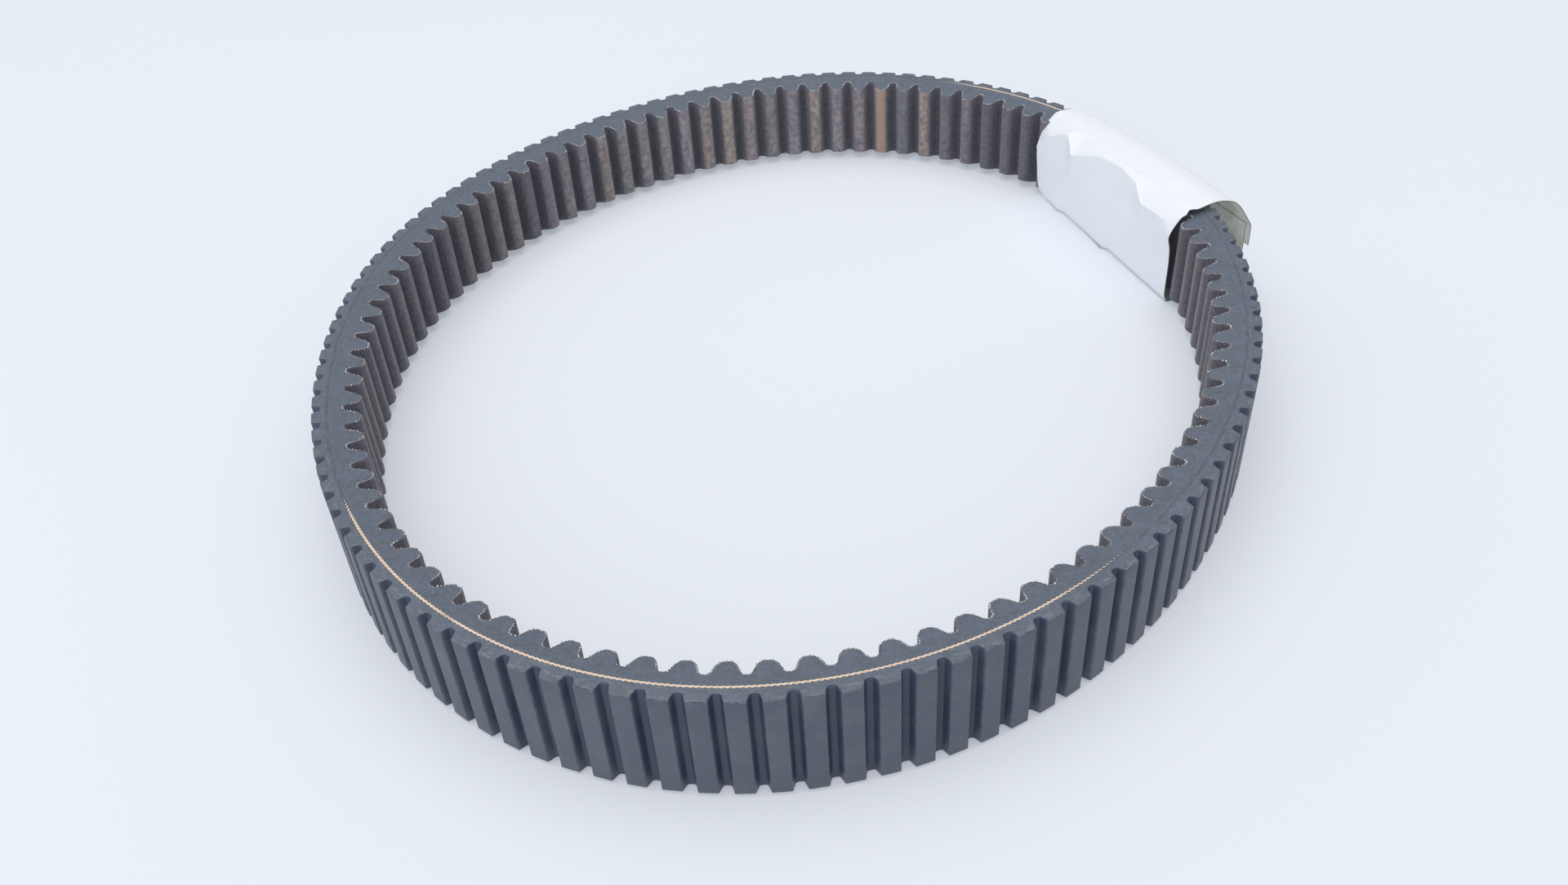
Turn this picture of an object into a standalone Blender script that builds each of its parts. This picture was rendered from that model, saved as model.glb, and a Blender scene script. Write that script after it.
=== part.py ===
"""Double-cogged variable-speed drive belt with the loose card sleeve that is wrapped round it.

Metres, +Z up. The belt lies on its side: the loop's axis is Z. The origin is the middle of the
bounding box, at the level that the sleeve's underside stands on.

Depth means the distance inwards from the outer lands, square to the loop.
Run means the distance along the loop, measured at the cord line.
"""

import math

import bmesh
import bpy
import numpy as np
from mathutils import Vector

# Loop seen from above, as the line of the outer lands: a ring that lies slightly out of round
loop_radius = 0.175
oval_share, oval_angle = 0.086, math.radians(75.7)
egg_share, egg_angle = 0.0085, math.radians(33.9)
square_share, square_angle = 0.0095, math.radians(-17.6)

# Belt section. Its thickness is the sum of the grooves, layers and cogs below
top_width = 0.036
land_edge_taper = 0.0002
vee_half_angle = math.radians(13.0)

# Outer cogs
outer_cog_count = 117
outer_groove_depth = 0.0027
land_share = 0.57
outer_root_share = 0.22
outer_cog_phase = 0.13

# Inner cogs
inner_cog_count = 97
inner_cog_height = 0.0054
crest_share = 0.28
shoulder_share = 0.54
shoulder_height_share = 0.72
inner_root_share = 0.20
inner_cog_phase = 0.135

# Layers, from the outer grooves inwards
bond_gap = 0.0003
overcord_base = 0.0005
cushion_over_cord = 0.00048
cord_diameter = 0.00114
cord_turns = 22
cord_steps = 40
cord_side_margin = 0.0001
cushion_under_cord = 0.0012
rubber_under_cushion = 0.00115
fabric_thickness = 0.0006

# Card sleeve
card_thickness = 0.0004
sleeve_angle = math.radians(28.0)
sleeve_length = 0.1006
slide_gap = 0.0006
inner_wall_gap_tight = 0.0013
inner_wall_gap_loose = 0.0016
outer_wall_gap_tight = 0.0022
outer_wall_gap_loose = 0.0153
outer_wall_bow = 0.0025
roof_crown = 0.0022
inner_corner = 0.0045
outer_corner_tight = 0.0025
outer_corner_loose = 0.009
flap_overlap = 0.009
flap_start_drop = 0.001
sleeve_stations = 9
corner_steps = 4

# Clear tape over the flap's end
tape_width = 0.012
tape_thickness = 0.0002
tape_share_on_flap = 0.4
tape_span = (0.08, 0.92)

# Axis that the sleeve slides about: the centre of the belt's curve there, as shares of the loop's radius
slide_axis_shares = (-0.1714, 0.1143)

# Level of the belt's lower side face above the sleeve's underside
belt_floor = card_thickness + slide_gap

# Depths from the outer lands down to the cord's middle
overcord_base_depth = outer_groove_depth + overcord_base
cord_top_depth = overcord_base_depth + bond_gap + cushion_over_cord
cord_depth = cord_top_depth + bond_gap + cord_diameter / 2
cord_bottom_depth = cord_depth + cord_diameter / 2 + bond_gap

loop_samples = 3600


# ---------------------------------------------------------------- the loop


def loop_radius_at(angle):
    oval = oval_share * np.cos(2 * (angle - oval_angle))
    egg = egg_share * np.cos(3 * (angle - egg_angle))
    square = square_share * np.cos(4 * (angle - square_angle))
    return loop_radius * (1 + oval + egg + square)


def trace_loop():
    """Points of the outer line, their inward normals, and the run at each of them."""
    angle = np.linspace(0.0, 2 * math.pi, loop_samples, endpoint=False)
    radius = loop_radius_at(angle)
    line = np.stack([radius * np.cos(angle), radius * np.sin(angle)], axis=1)
    along = np.roll(line, -1, axis=0) - np.roll(line, 1, axis=0)
    along /= np.linalg.norm(along, axis=1)[:, None]
    inward = np.stack([-along[:, 1], along[:, 0]], axis=1)
    cord_line = line + cord_depth * inward
    step = np.linalg.norm(np.roll(cord_line, -1, axis=0) - cord_line, axis=1)
    run = np.concatenate([[0.0], np.cumsum(step)])
    closed_line = np.concatenate([line, line[:1]])
    closed_inward = np.concatenate([inward, inward[:1]])
    return closed_line, closed_inward, run


def cord_chord_drop(inward, run):
    """How far the middle of a straight step of the cord falls inside the loop's tightest curve."""
    turn = np.gradient(np.unwrap(np.arctan2(inward[:, 1], inward[:, 0])), run)
    chord = run[-1] / cord_steps
    return float(chord**2 * turn.max() / 8)


loop_line, loop_inward, loop_run = trace_loop()
cord_line_length = float(loop_run[-1])
lower_cushion_depth = cord_bottom_depth + cord_chord_drop(loop_inward, loop_run) + cushion_under_cord
cog_root_depth = lower_cushion_depth + bond_gap + rubber_under_cushion + bond_gap + fabric_thickness
belt_thickness = cog_root_depth + inner_cog_height


def place(run, depth):
    """Plan position at a run along the loop and a depth into it."""
    at = run % cord_line_length
    point = [np.interp(at, loop_run, loop_line[:, k]) for k in (0, 1)]
    normal = np.array([np.interp(at, loop_run, loop_inward[:, k]) for k in (0, 1)])
    normal /= np.linalg.norm(normal)
    return np.array(point) + depth * normal


def half_width(depth):
    """Half the belt's width at a depth: widest at the cord line, and a vee below it."""
    if depth < cord_depth:
        return top_width / 2 - land_edge_taper * (1 - depth / cord_depth)
    return top_width / 2 - (depth - cord_depth) * math.tan(vee_half_angle)


def belt_middle():
    return belt_floor + top_width / 2


# ---------------------------------------------------------------- outlines, as (run, depth)


def plain_outline(count, depth, phase=0.0):
    return [((k + phase) * cord_line_length / count, depth) for k in range(count)]


def outer_cog_outline():
    """Flat lands with sloping flanks down to flat-bottomed grooves."""
    pitch = cord_line_length / outer_cog_count
    land = land_share / 2
    root = (1 - outer_root_share) / 2
    profile = [(-root, 1.0), (-land, 0.0), (land, 0.0), (root, 1.0)]
    outline = []
    for cog in range(outer_cog_count):
        for across, depth_share in profile:
            outline.append(((cog + outer_cog_phase + across) * pitch, depth_share * outer_groove_depth))
    return outline


def inner_cog_profile():
    """Half a cog and its mirror, as (share of the pitch, share of the cog's height)."""
    root = (1 - inner_root_share) / 2
    half = [(root, 0.0), (shoulder_share / 2, shoulder_height_share), (crest_share / 2, 1.0)]
    return [(-across, height) for across, height in half] + half[::-1]


def inner_cog_outline(inset):
    """The cogs' surface drawn back by inset, square to itself. An inset of 0 is the fabric's face."""
    pitch = cord_line_length / inner_cog_count
    profile = inner_cog_profile()
    flat = [np.array([a * pitch, cog_root_depth + h * inner_cog_height]) for a, h in profile]
    before = flat[-1:] + flat[:-1]
    after = flat[1:] + flat[:1]
    before[0] = before[0] - np.array([pitch, 0.0])
    after[-1] = after[-1] + np.array([pitch, 0.0])
    drawn_back = []
    for previous, point, following in zip(before, flat, after):
        into = (point - previous) / np.linalg.norm(point - previous)
        out_of = (following - point) / np.linalg.norm(following - point)
        first = np.array([into[1], -into[0]])
        second = np.array([out_of[1], -out_of[0]])
        mitre = (first + second) / (1 + first @ second)
        drawn_back.append(point + inset * mitre)
    outline = []
    for cog in range(inner_cog_count):
        for across, depth in drawn_back:
            outline.append((across + (cog + inner_cog_phase) * pitch, float(depth)))
    return outline


# ---------------------------------------------------------------- mesh helpers


def material_for(name, colour, roughness, metallic=0.0):
    material = bpy.data.materials.new(name)
    material.use_nodes = True
    shader = material.node_tree.nodes["Principled BSDF"]
    shader.inputs["Base Color"].default_value = (*colour, 1.0)
    shader.inputs["Roughness"].default_value = roughness
    shader.inputs["Metallic"].default_value = metallic
    return material


def finish_object(bm, name, parent, colour, roughness):
    """Turns a bmesh, in the loop's own coordinates, into a named object under its parent."""
    bmesh.ops.recalc_face_normals(bm, faces=bm.faces)
    if bm.calc_volume(signed=True) < 0:
        bmesh.ops.reverse_faces(bm, faces=bm.faces)
    bm.transform(parent.matrix_world.inverted())
    mesh = bpy.data.meshes.new(name)
    bm.to_mesh(mesh)
    bm.free()
    mesh.shade_smooth()
    mesh.set_sharp_from_angle(angle=math.radians(32))
    mesh.materials.append(material_for(name, colour, roughness))
    piece = bpy.data.objects.new(name, mesh)
    bpy.context.scene.collection.objects.link(piece)
    piece.parent = parent
    return piece


def ring_of_points(bm, outline, side):
    """One closed ring of vertices on the belt's upper or lower side face."""
    ring = []
    for run, depth in outline:
        plan = place(run, depth)
        height = belt_middle() + side * half_width(depth)
        ring.append(bm.verts.new((plan[0], plan[1], height)))
    return ring


def zip_rings(bm, first, second, first_runs, second_runs):
    """Triangles between two closed rings, stepping along whichever ring lags behind."""
    a = b = 0
    while a < len(first) or b < len(second):
        run_a = first_runs[(a + 1) % len(first)] + cord_line_length * ((a + 1) // len(first))
        run_b = second_runs[(b + 1) % len(second)] + cord_line_length * ((b + 1) // len(second))
        at_a = first[a % len(first)]
        at_b = second[b % len(second)]
        if b >= len(second) or (a < len(first) and run_a <= run_b):
            a += 1
            bm.faces.new((at_a, first[a % len(first)], at_b))
        else:
            b += 1
            bm.faces.new((at_a, second[b % len(second)], at_b))


def bridge(bm, first, second):
    """Quads between two closed rings of the same count."""
    for k in range(len(first)):
        after = (k + 1) % len(first)
        bm.faces.new((first[k], first[after], second[after], second[k]))


def start_at_zero(outline):
    """The same closed outline, starting at its first point past run 0."""
    wrapped = [(run % cord_line_length, depth) for run, depth in outline]
    first = min(range(len(wrapped)), key=lambda k: wrapped[k][0])
    return wrapped[first:] + wrapped[:first]


def layer(name, outer_outline, inner_outline, parent, colour, roughness):
    """A closed ring of rubber or fabric between two outlines, cut to the belt's sides."""
    outer_outline = start_at_zero(outer_outline)
    inner_outline = start_at_zero(inner_outline)
    outer_runs = [run for run, depth in outer_outline]
    inner_runs = [run for run, depth in inner_outline]
    bm = bmesh.new()
    sides = []
    for side in (1, -1):
        outer_ring = ring_of_points(bm, outer_outline, side)
        inner_ring = ring_of_points(bm, inner_outline, side)
        if len(outer_ring) == len(inner_ring):
            bridge(bm, outer_ring, inner_ring)
        else:
            zip_rings(bm, outer_ring, inner_ring, outer_runs, inner_runs)
        sides.append((outer_ring, inner_ring))
    bridge(bm, sides[0][0], sides[1][0])
    bridge(bm, sides[0][1], sides[1][1])
    return finish_object(bm, name, parent, colour, roughness)


# ---------------------------------------------------------------- belt pieces


def make_overcord_rubber(parent):
    inner = plain_outline(outer_cog_count, overcord_base_depth, outer_cog_phase)
    return layer("overcord_rubber", outer_cog_outline(), inner, parent, (0.075, 0.085, 0.10), 0.75)


def make_upper_cushion(parent):
    outer = plain_outline(outer_cog_count, overcord_base_depth + bond_gap, outer_cog_phase)
    inner = plain_outline(cord_steps, cord_top_depth)
    return layer("upper_cushion", outer, inner, parent, (0.085, 0.09, 0.10), 0.7)


def make_lower_cushion(parent):
    outer = plain_outline(cord_steps, cord_bottom_depth)
    inner = plain_outline(inner_cog_count, lower_cushion_depth, inner_cog_phase)
    return layer("lower_cushion", outer, inner, parent, (0.085, 0.09, 0.10), 0.7)


def make_cog_rubber(parent):
    outer = plain_outline(inner_cog_count, lower_cushion_depth + bond_gap, inner_cog_phase)
    inner = inner_cog_outline(fabric_thickness + bond_gap)
    return layer("cog_rubber", outer, inner, parent, (0.07, 0.08, 0.09), 0.8)


def make_cog_fabric(parent):
    outer = inner_cog_outline(fabric_thickness)
    inner = inner_cog_outline(0.0)
    return layer("cog_fabric", outer, inner, parent, (0.10, 0.085, 0.085), 0.9)


def make_tension_cord(parent):
    """One cord wound side by side from the lower face of the belt to the upper one."""
    radius = cord_diameter / 2
    reach = top_width / 2 - radius - cord_side_margin
    total = cord_turns * cord_steps
    section = [(0.0, 1.0), (1.0, 0.0), (0.0, -1.0), (-1.0, 0.0)]
    bm = bmesh.new()
    rings = []
    for step in range(total + 1):
        run = step * cord_line_length / cord_steps
        height = belt_middle() - reach + 2 * reach * step / total
        ring = []
        for inwards, upwards in section:
            plan = place(run, cord_depth + inwards * radius)
            ring.append(bm.verts.new((plan[0], plan[1], height + upwards * radius)))
        rings.append(ring)
    for first, second in zip(rings, rings[1:]):
        bridge(bm, first, second)
    bm.faces.new(rings[0])
    bm.faces.new(rings[-1])
    return finish_object(bm, "tension_cord", parent, (0.62, 0.48, 0.33), 0.8)


# ---------------------------------------------------------------- card sleeve


def run_at_angle(angle):
    """Run of the loop's point at a bearing from its centre."""
    bearing = np.unwrap(np.arctan2(loop_line[:, 1], loop_line[:, 0]))
    return float(np.interp(angle, bearing, loop_run))


def sleeve_axes():
    """Origin on the crest line, unit vector along the sleeve and unit vector outwards from the loop."""
    middle = run_at_angle(sleeve_angle)
    head = place(middle + sleeve_length / 2, belt_thickness)
    foot = place(middle - sleeve_length / 2, belt_thickness)
    along = (foot - head) / np.linalg.norm(foot - head)
    outwards = np.array([-along[1], along[0]])
    centre = (head + foot) / 2
    if outwards @ centre < 0:
        outwards = -outwards
    return centre - along * sleeve_length / 2, along, outwards


def belt_reach(depth, station):
    """How far out the belt stands from the sleeve's axis line, at a share of the sleeve's length."""
    corner, along, outwards = sleeve_axes()
    middle = run_at_angle(sleeve_angle)
    runs = np.linspace(middle - sleeve_length, middle + sleeve_length, 600)
    points = np.array([place(run, depth) for run in runs]) - corner
    order = np.argsort(points @ along)
    return float(np.interp(station * sleeve_length, (points @ along)[order], (points @ outwards)[order]))


def outer_wall_line():
    """Inner face of the outer wall: close at one end, loose at the other, bowed over the belt."""
    tight = belt_reach(0.0, 0.0) + outer_wall_gap_tight
    loose = belt_reach(0.0, 1.0) + outer_wall_gap_loose
    shares = np.linspace(0.0, 1.0, sleeve_stations)
    straight = tight + (loose - tight) * shares
    arch = 4 * shares * (1 - shares)
    needed = [belt_reach(0.0, share) + outer_wall_gap_tight for share in shares]
    bow = outer_wall_bow
    for k in range(1, sleeve_stations - 1):
        bow = max(bow, (needed[k] - straight[k]) / arch[k])
    return straight + bow * arch


def inner_wall_line():
    """Inner face of the inner wall: a straight chord just clear of the crests at both ends."""
    gaps = (inner_wall_gap_tight, inner_wall_gap_loose)
    ends = [belt_reach(belt_thickness, share) - gap for share, gap in zip((0.0, 1.0), gaps)]
    return ends[0] + (ends[1] - ends[0]) * np.linspace(0.0, 1.0, sleeve_stations)


roof_height = belt_floor + top_width + slide_gap
flap_lift = card_thickness + bond_gap
flap_start_height = roof_height - outer_corner_loose - flap_start_drop
flap_end_height = flap_start_height - flap_overlap


def sleeve_section(near, far, share_along, lift):
    """Closed rounded path (outwards, up) round the belt, lift outside the card's inner face.

    It runs from the outer wall under the belt, up the inner wall and over the roof.
    """
    low = card_thickness
    high = roof_height
    crown = roof_crown * share_along
    outer_corner = outer_corner_tight + (outer_corner_loose - outer_corner_tight) * share_along
    corners = [(far, low, -90.0), (near, low, -180.0), (near, high, -270.0), (far, high, -360.0)]
    path = []
    for across, up, turn in corners:
        radius = inner_corner if across == near else outer_corner
        centre_across = across + (radius if across == near else -radius)
        centre_up = up + (radius if up == low else -radius)
        for step in range(corner_steps + 1):
            angle = math.radians(turn + 90.0 - 90.0 * step / corner_steps)
            reach = radius + lift
            path.append((centre_across + reach * math.cos(angle), centre_up + reach * math.sin(angle)))
    share = [(across - near) / (far - near) for across, up in path]
    crowned = []
    for (across, up), s in zip(path, share):
        rise = crown * max(0.0, 4 * s * (1 - s)) if up > (low + high) / 2 else 0.0
        crowned.append((across, up + rise))
    return crowned


def card_path(near, far, share_along, lift):
    """The card's path with its two ends overlapping on the outer wall, the flap outermost."""
    section = sleeve_section(near, far, share_along, lift)
    start = (far + lift, flap_start_height - bond_gap)
    knee = (far + lift + flap_lift, flap_start_height)
    end = (far + lift + flap_lift, flap_end_height)
    return [start] + section + [knee, end]


def tape_path(far, lift):
    """Over the flap's end and down on to the card below it."""
    on_flap = far + card_thickness + flap_lift + bond_gap + lift
    on_card = far + card_thickness + bond_gap + lift
    top = flap_end_height + tape_width * tape_share_on_flap
    bottom = top - tape_width
    step_top = flap_end_height - bond_gap - lift
    step_bottom = step_top - flap_lift
    return [(on_flap, top), (on_flap, step_top), (on_card, step_bottom), (on_card, bottom)]


def sheet_solid(name, stations, parent, colour, roughness):
    """A closed sheet from (position along, inner path, outer path) at each station."""
    corner, along, outwards = sleeve_axes()
    bm = bmesh.new()
    skins = ([], [])
    for distance, inner_path, outer_path in stations:
        for skin, path in zip(skins, (inner_path, outer_path)):
            row = []
            for across, up in path:
                plan = corner + along * distance + outwards * across
                row.append(bm.verts.new((plan[0], plan[1], up)))
            skin.append(row)
    inner, outer = skins
    last = len(inner[0]) - 1
    for k in range(len(stations) - 1):
        for j in range(last):
            bm.faces.new((inner[k][j], inner[k][j + 1], inner[k + 1][j + 1], inner[k + 1][j]))
            bm.faces.new((outer[k][j], outer[k + 1][j], outer[k + 1][j + 1], outer[k][j + 1]))
        for j in (0, last):
            bm.faces.new((inner[k][j], inner[k + 1][j], outer[k + 1][j], outer[k][j]))
    for k in (0, len(stations) - 1):
        for j in range(last):
            bm.faces.new((inner[k][j], inner[k][j + 1], outer[k][j + 1], outer[k][j]))
    return finish_object(bm, name, parent, colour, roughness)


def make_sleeve_card(parent):
    stations = []
    shares = np.linspace(0.0, 1.0, sleeve_stations)
    for share, near, far in zip(shares, inner_wall_line(), outer_wall_line()):
        inner_path = card_path(near, far, share, 0.0)
        outer_path = card_path(near, far, share, card_thickness)
        stations.append((share * sleeve_length, inner_path, outer_path))
    return sheet_solid("sleeve_card", stations, parent, (0.86, 0.87, 0.89), 0.55)


def make_sleeve_tape(parent):
    stations = []
    shares = np.linspace(0.0, 1.0, sleeve_stations)
    tape_shares = [tape_span[0]] + [s for s in shares if tape_span[0] < s < tape_span[1]] + [tape_span[1]]
    for share in tape_shares:
        far = float(np.interp(share, shares, outer_wall_line()))
        stations.append((share * sleeve_length, tape_path(far, 0.0), tape_path(far, tape_thickness)))
    return sheet_solid("sleeve_tape", stations, parent, (0.80, 0.82, 0.80), 0.15)


# ---------------------------------------------------------------- assembly


def clear_scene():
    for thing in list(bpy.data.objects):
        bpy.data.objects.remove(thing, do_unlink=True)


def frame_at(name, position):
    frame = bpy.data.objects.new(name, None)
    frame.location = position
    bpy.context.scene.collection.objects.link(frame)
    bpy.context.view_layer.update()
    return frame


def centre_on_box(frames, pieces):
    """Moves the assembly so that the middle of its bounding box is over the origin."""
    bpy.context.view_layer.update()
    corners = [piece.matrix_world @ vertex.co for piece in pieces for vertex in piece.data.vertices]
    low = Vector([min(corner[k] for corner in corners) for k in range(3)])
    high = Vector([max(corner[k] for corner in corners) for k in range(3)])
    middle = (low + high) / 2
    for frame in frames:
        frame.location -= Vector((middle.x, middle.y, low.z))
    bpy.context.view_layer.update()


def main():
    clear_scene()
    belt = frame_at("belt_frame", (0.0, 0.0, 0.0))
    slide_axis = [share * loop_radius for share in slide_axis_shares]
    sleeve = frame_at("sleeve_slide_axis", (*slide_axis, 0.0))
    pieces = [
        make_overcord_rubber(belt),
        make_upper_cushion(belt),
        make_tension_cord(belt),
        make_lower_cushion(belt),
        make_cog_rubber(belt),
        make_cog_fabric(belt),
        make_sleeve_card(sleeve),
        make_sleeve_tape(sleeve),
    ]
    centre_on_box([belt, sleeve], pieces)


main()
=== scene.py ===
import math
import random

import bpy
import numpy as np
from mathutils import Matrix, Vector, noise


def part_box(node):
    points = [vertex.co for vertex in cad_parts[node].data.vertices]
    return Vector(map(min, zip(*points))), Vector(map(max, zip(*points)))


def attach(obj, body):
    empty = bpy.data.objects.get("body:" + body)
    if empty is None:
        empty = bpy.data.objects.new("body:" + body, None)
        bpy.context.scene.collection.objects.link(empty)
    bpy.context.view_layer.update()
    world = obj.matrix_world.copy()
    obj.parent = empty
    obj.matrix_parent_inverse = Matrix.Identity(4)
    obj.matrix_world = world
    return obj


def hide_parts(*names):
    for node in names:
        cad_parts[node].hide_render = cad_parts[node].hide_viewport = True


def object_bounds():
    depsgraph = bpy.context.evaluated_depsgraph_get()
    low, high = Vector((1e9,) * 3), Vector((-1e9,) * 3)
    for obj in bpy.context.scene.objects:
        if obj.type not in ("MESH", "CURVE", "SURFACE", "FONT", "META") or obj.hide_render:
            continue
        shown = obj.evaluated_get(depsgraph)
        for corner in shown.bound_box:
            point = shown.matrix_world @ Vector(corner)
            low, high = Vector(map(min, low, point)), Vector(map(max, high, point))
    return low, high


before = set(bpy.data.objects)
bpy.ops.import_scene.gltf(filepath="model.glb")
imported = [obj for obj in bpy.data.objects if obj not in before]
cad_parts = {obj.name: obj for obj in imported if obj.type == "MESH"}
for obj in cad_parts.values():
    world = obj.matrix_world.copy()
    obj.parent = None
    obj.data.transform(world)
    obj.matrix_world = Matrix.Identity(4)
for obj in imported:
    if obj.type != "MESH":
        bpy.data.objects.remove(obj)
cadLow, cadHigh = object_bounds()
print("frame:", ", ".join(sorted(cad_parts)))

mm = 0.001

# how the belt lies, seen from above: a ring slightly out of round (share of the radius, degrees)
loop = dict(radius=175.0, oval=(0.086, 75.7), egg=(0.0085, 33.9), square=(0.0095, -17.6), samples=3600)

# belt section, in mm. depth is measured inwards from the outer lands
belt = dict(
    width=36.0, thickness=15.4, landTaper=0.2, veeAngle=13.0,
    cordDepth=4.85, overcordDepth=3.35, cogRubberDepth=7.8,
    edge=0.13, wear=0.55,           # how far the ground edges are rounded over, evenly and at worn places
    wearSpread=(3.1, 2.0), wearSeed=4.2, edgeRows=(1, 0.3), edgeDrop=0.4,
)
sharpAngle = 38.0                   # degrees between faces, from which an edge stays crisp

outerCogs = dict(count=117, phase=0.13, land=0.57, root=0.22, depth=2.7, landRadius=0.3, rootRadius=0.95)
innerCogs = dict(
    count=97, phase=0.135, height=5.4, root=0.20, shoulder=0.54, shoulderHeight=0.72, crest=0.28,
    rootRadius=1.35, shoulderRadius=2.6, crestRadius=1.5, cloth=0.6,
)
cornerShare = 0.46                  # most of a cog's straight side that one rounded corner may take


def traceLoop():
    angle = np.linspace(0, 2 * math.pi, loop["samples"], endpoint=False)
    radius = np.ones_like(angle)
    for waves, key in ((2, "oval"), (3, "egg"), (4, "square")):
        share, turn = loop[key]
        radius += share * np.cos(waves * (angle - math.radians(turn)))
    line = loop["radius"] * radius[:, None] * np.stack([np.cos(angle), np.sin(angle)], 1)
    along = np.roll(line, -1, 0) - np.roll(line, 1, 0)
    along /= np.linalg.norm(along, axis=1)[:, None]
    inward = np.stack([-along[:, 1], along[:, 0]], 1)
    cordLine = line + belt["cordDepth"] * inward
    step = np.linalg.norm(np.roll(cordLine, -1, 0) - cordLine, axis=1)
    run = np.concatenate([[0], np.cumsum(step)])
    return np.concatenate([line, line[:1]]), np.concatenate([inward, inward[:1]]), run


loopLine, loopInward, loopRun = traceLoop()
beltLength = loopRun[-1]            # mm, measured at the cord

# where the frame has the belt: its middle in plan and half way up
outerLow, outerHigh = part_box("overcord_rubber")
lineMiddle = (loopLine.min(0) + loopLine.max(0)) / 2
beltCentre = (np.array(outerLow)[:2] + np.array(outerHigh)[:2]) / 2 / mm - lineMiddle
beltMiddle = (outerLow[2] + outerHigh[2]) / 2 / mm


# point in mm at a run along the belt, a depth into it and a height over its middle
def placed(run, depth, height):
    run, depth, height = np.broadcast_arrays(*(np.asarray(a, float) for a in (run, depth, height)))
    at = run % beltLength
    x, y, nx, ny = (np.interp(at, loopRun, a) for a in (*loopLine.T, *loopInward.T))
    size = np.hypot(nx, ny)
    plan = (x + depth * nx / size + beltCentre[0], y + depth * ny / size + beltCentre[1])
    return np.stack([*plan, beltMiddle + height], -1)


def halfWidth(depth):
    lip = belt["landTaper"] * (1 - depth / belt["cordDepth"])
    vee = (depth - belt["cordDepth"]) * math.tan(math.radians(belt["veeAngle"]))
    return belt["width"] / 2 - np.where(depth < belt["cordDepth"], lip, vee)


# one cog's corners, each rounded to its own radius, repeated round the belt as (run, depth)
def roundedCogs(corners, radii, count, phase, steps):
    pitch = beltLength / count
    corners = [np.array(c) for c in corners]
    before = [corners[-1] - np.array([pitch, 0])] + corners[:-1]
    after = corners[1:] + [corners[0] + np.array([pitch, 0])]
    cog = []
    for last, here, following, radius in zip(before, corners, after, radii):
        into, out = (here - last), (following - here)
        lengths = np.linalg.norm(into), np.linalg.norm(out)
        into, out = into / lengths[0], out / lengths[1]
        turn = math.acos(max(-1, min(1, into @ out)))
        reach = min(radius * math.tan(turn / 2), cornerShare * min(lengths))
        start, end = here - into * reach, here + out * reach
        for k in range(steps + 1):
            s = k / steps
            cog.append((1 - s) ** 2 * start + 2 * s * (1 - s) * here + s * s * end)
    cog = np.array(cog)
    shifts = (np.arange(count) + phase) * pitch
    run = (cog[None, :, 0] + shifts[:, None]).ravel()
    return run, np.tile(cog[:, 1], count)


# the same outline moved square to itself, by a positive amount away from the belt's inside
def drawnBack(run, depth, amount):
    nextRun, lastRun = np.roll(run, -1), np.roll(run, 1)
    nextRun[-1] += beltLength
    lastRun[0] -= beltLength
    along = np.stack([nextRun - lastRun, np.roll(depth, -1) - np.roll(depth, 1)])
    along /= np.linalg.norm(along, axis=0)
    return run + along[1] * amount, depth - along[0] * amount


def outerCogLine():
    pitch = beltLength / outerCogs["count"]
    root, land = (1 - outerCogs["root"]) / 2 * pitch, outerCogs["land"] / 2 * pitch
    deep = outerCogs["depth"]
    corners = [(-root, deep), (-land, 0), (land, 0), (root, deep)]
    radii = [outerCogs[k] for k in ("rootRadius", "landRadius", "landRadius", "rootRadius")]
    return roundedCogs(corners, radii, outerCogs["count"], outerCogs["phase"], steps=5)


def innerCogLine():
    pitch, tall = beltLength / innerCogs["count"], innerCogs["height"]
    base = belt["thickness"] - tall
    half = [
        ((1 - innerCogs["root"]) / 2, 0),
        (innerCogs["shoulder"] / 2, innerCogs["shoulderHeight"]),
        (innerCogs["crest"] / 2, 1),
    ]
    corners = [(-a * pitch, base + h * tall) for a, h in half]
    corners += [(a * pitch, base + h * tall) for a, h in half[::-1]]
    radii = [innerCogs[k] for k in ("rootRadius", "shoulderRadius", "crestRadius")]
    return roundedCogs(corners, radii + radii[::-1], innerCogs["count"], innerCogs["phase"], steps=4)


# distance along an outline from its first point, in mm, all the way round
def arcAlong(run, depth):
    closedRun, closedDepth = np.append(run, run[0] + beltLength), np.append(depth, depth[0])
    return np.concatenate([[0], np.cumsum(np.hypot(np.diff(closedRun), np.diff(closedDepth)))])


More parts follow.
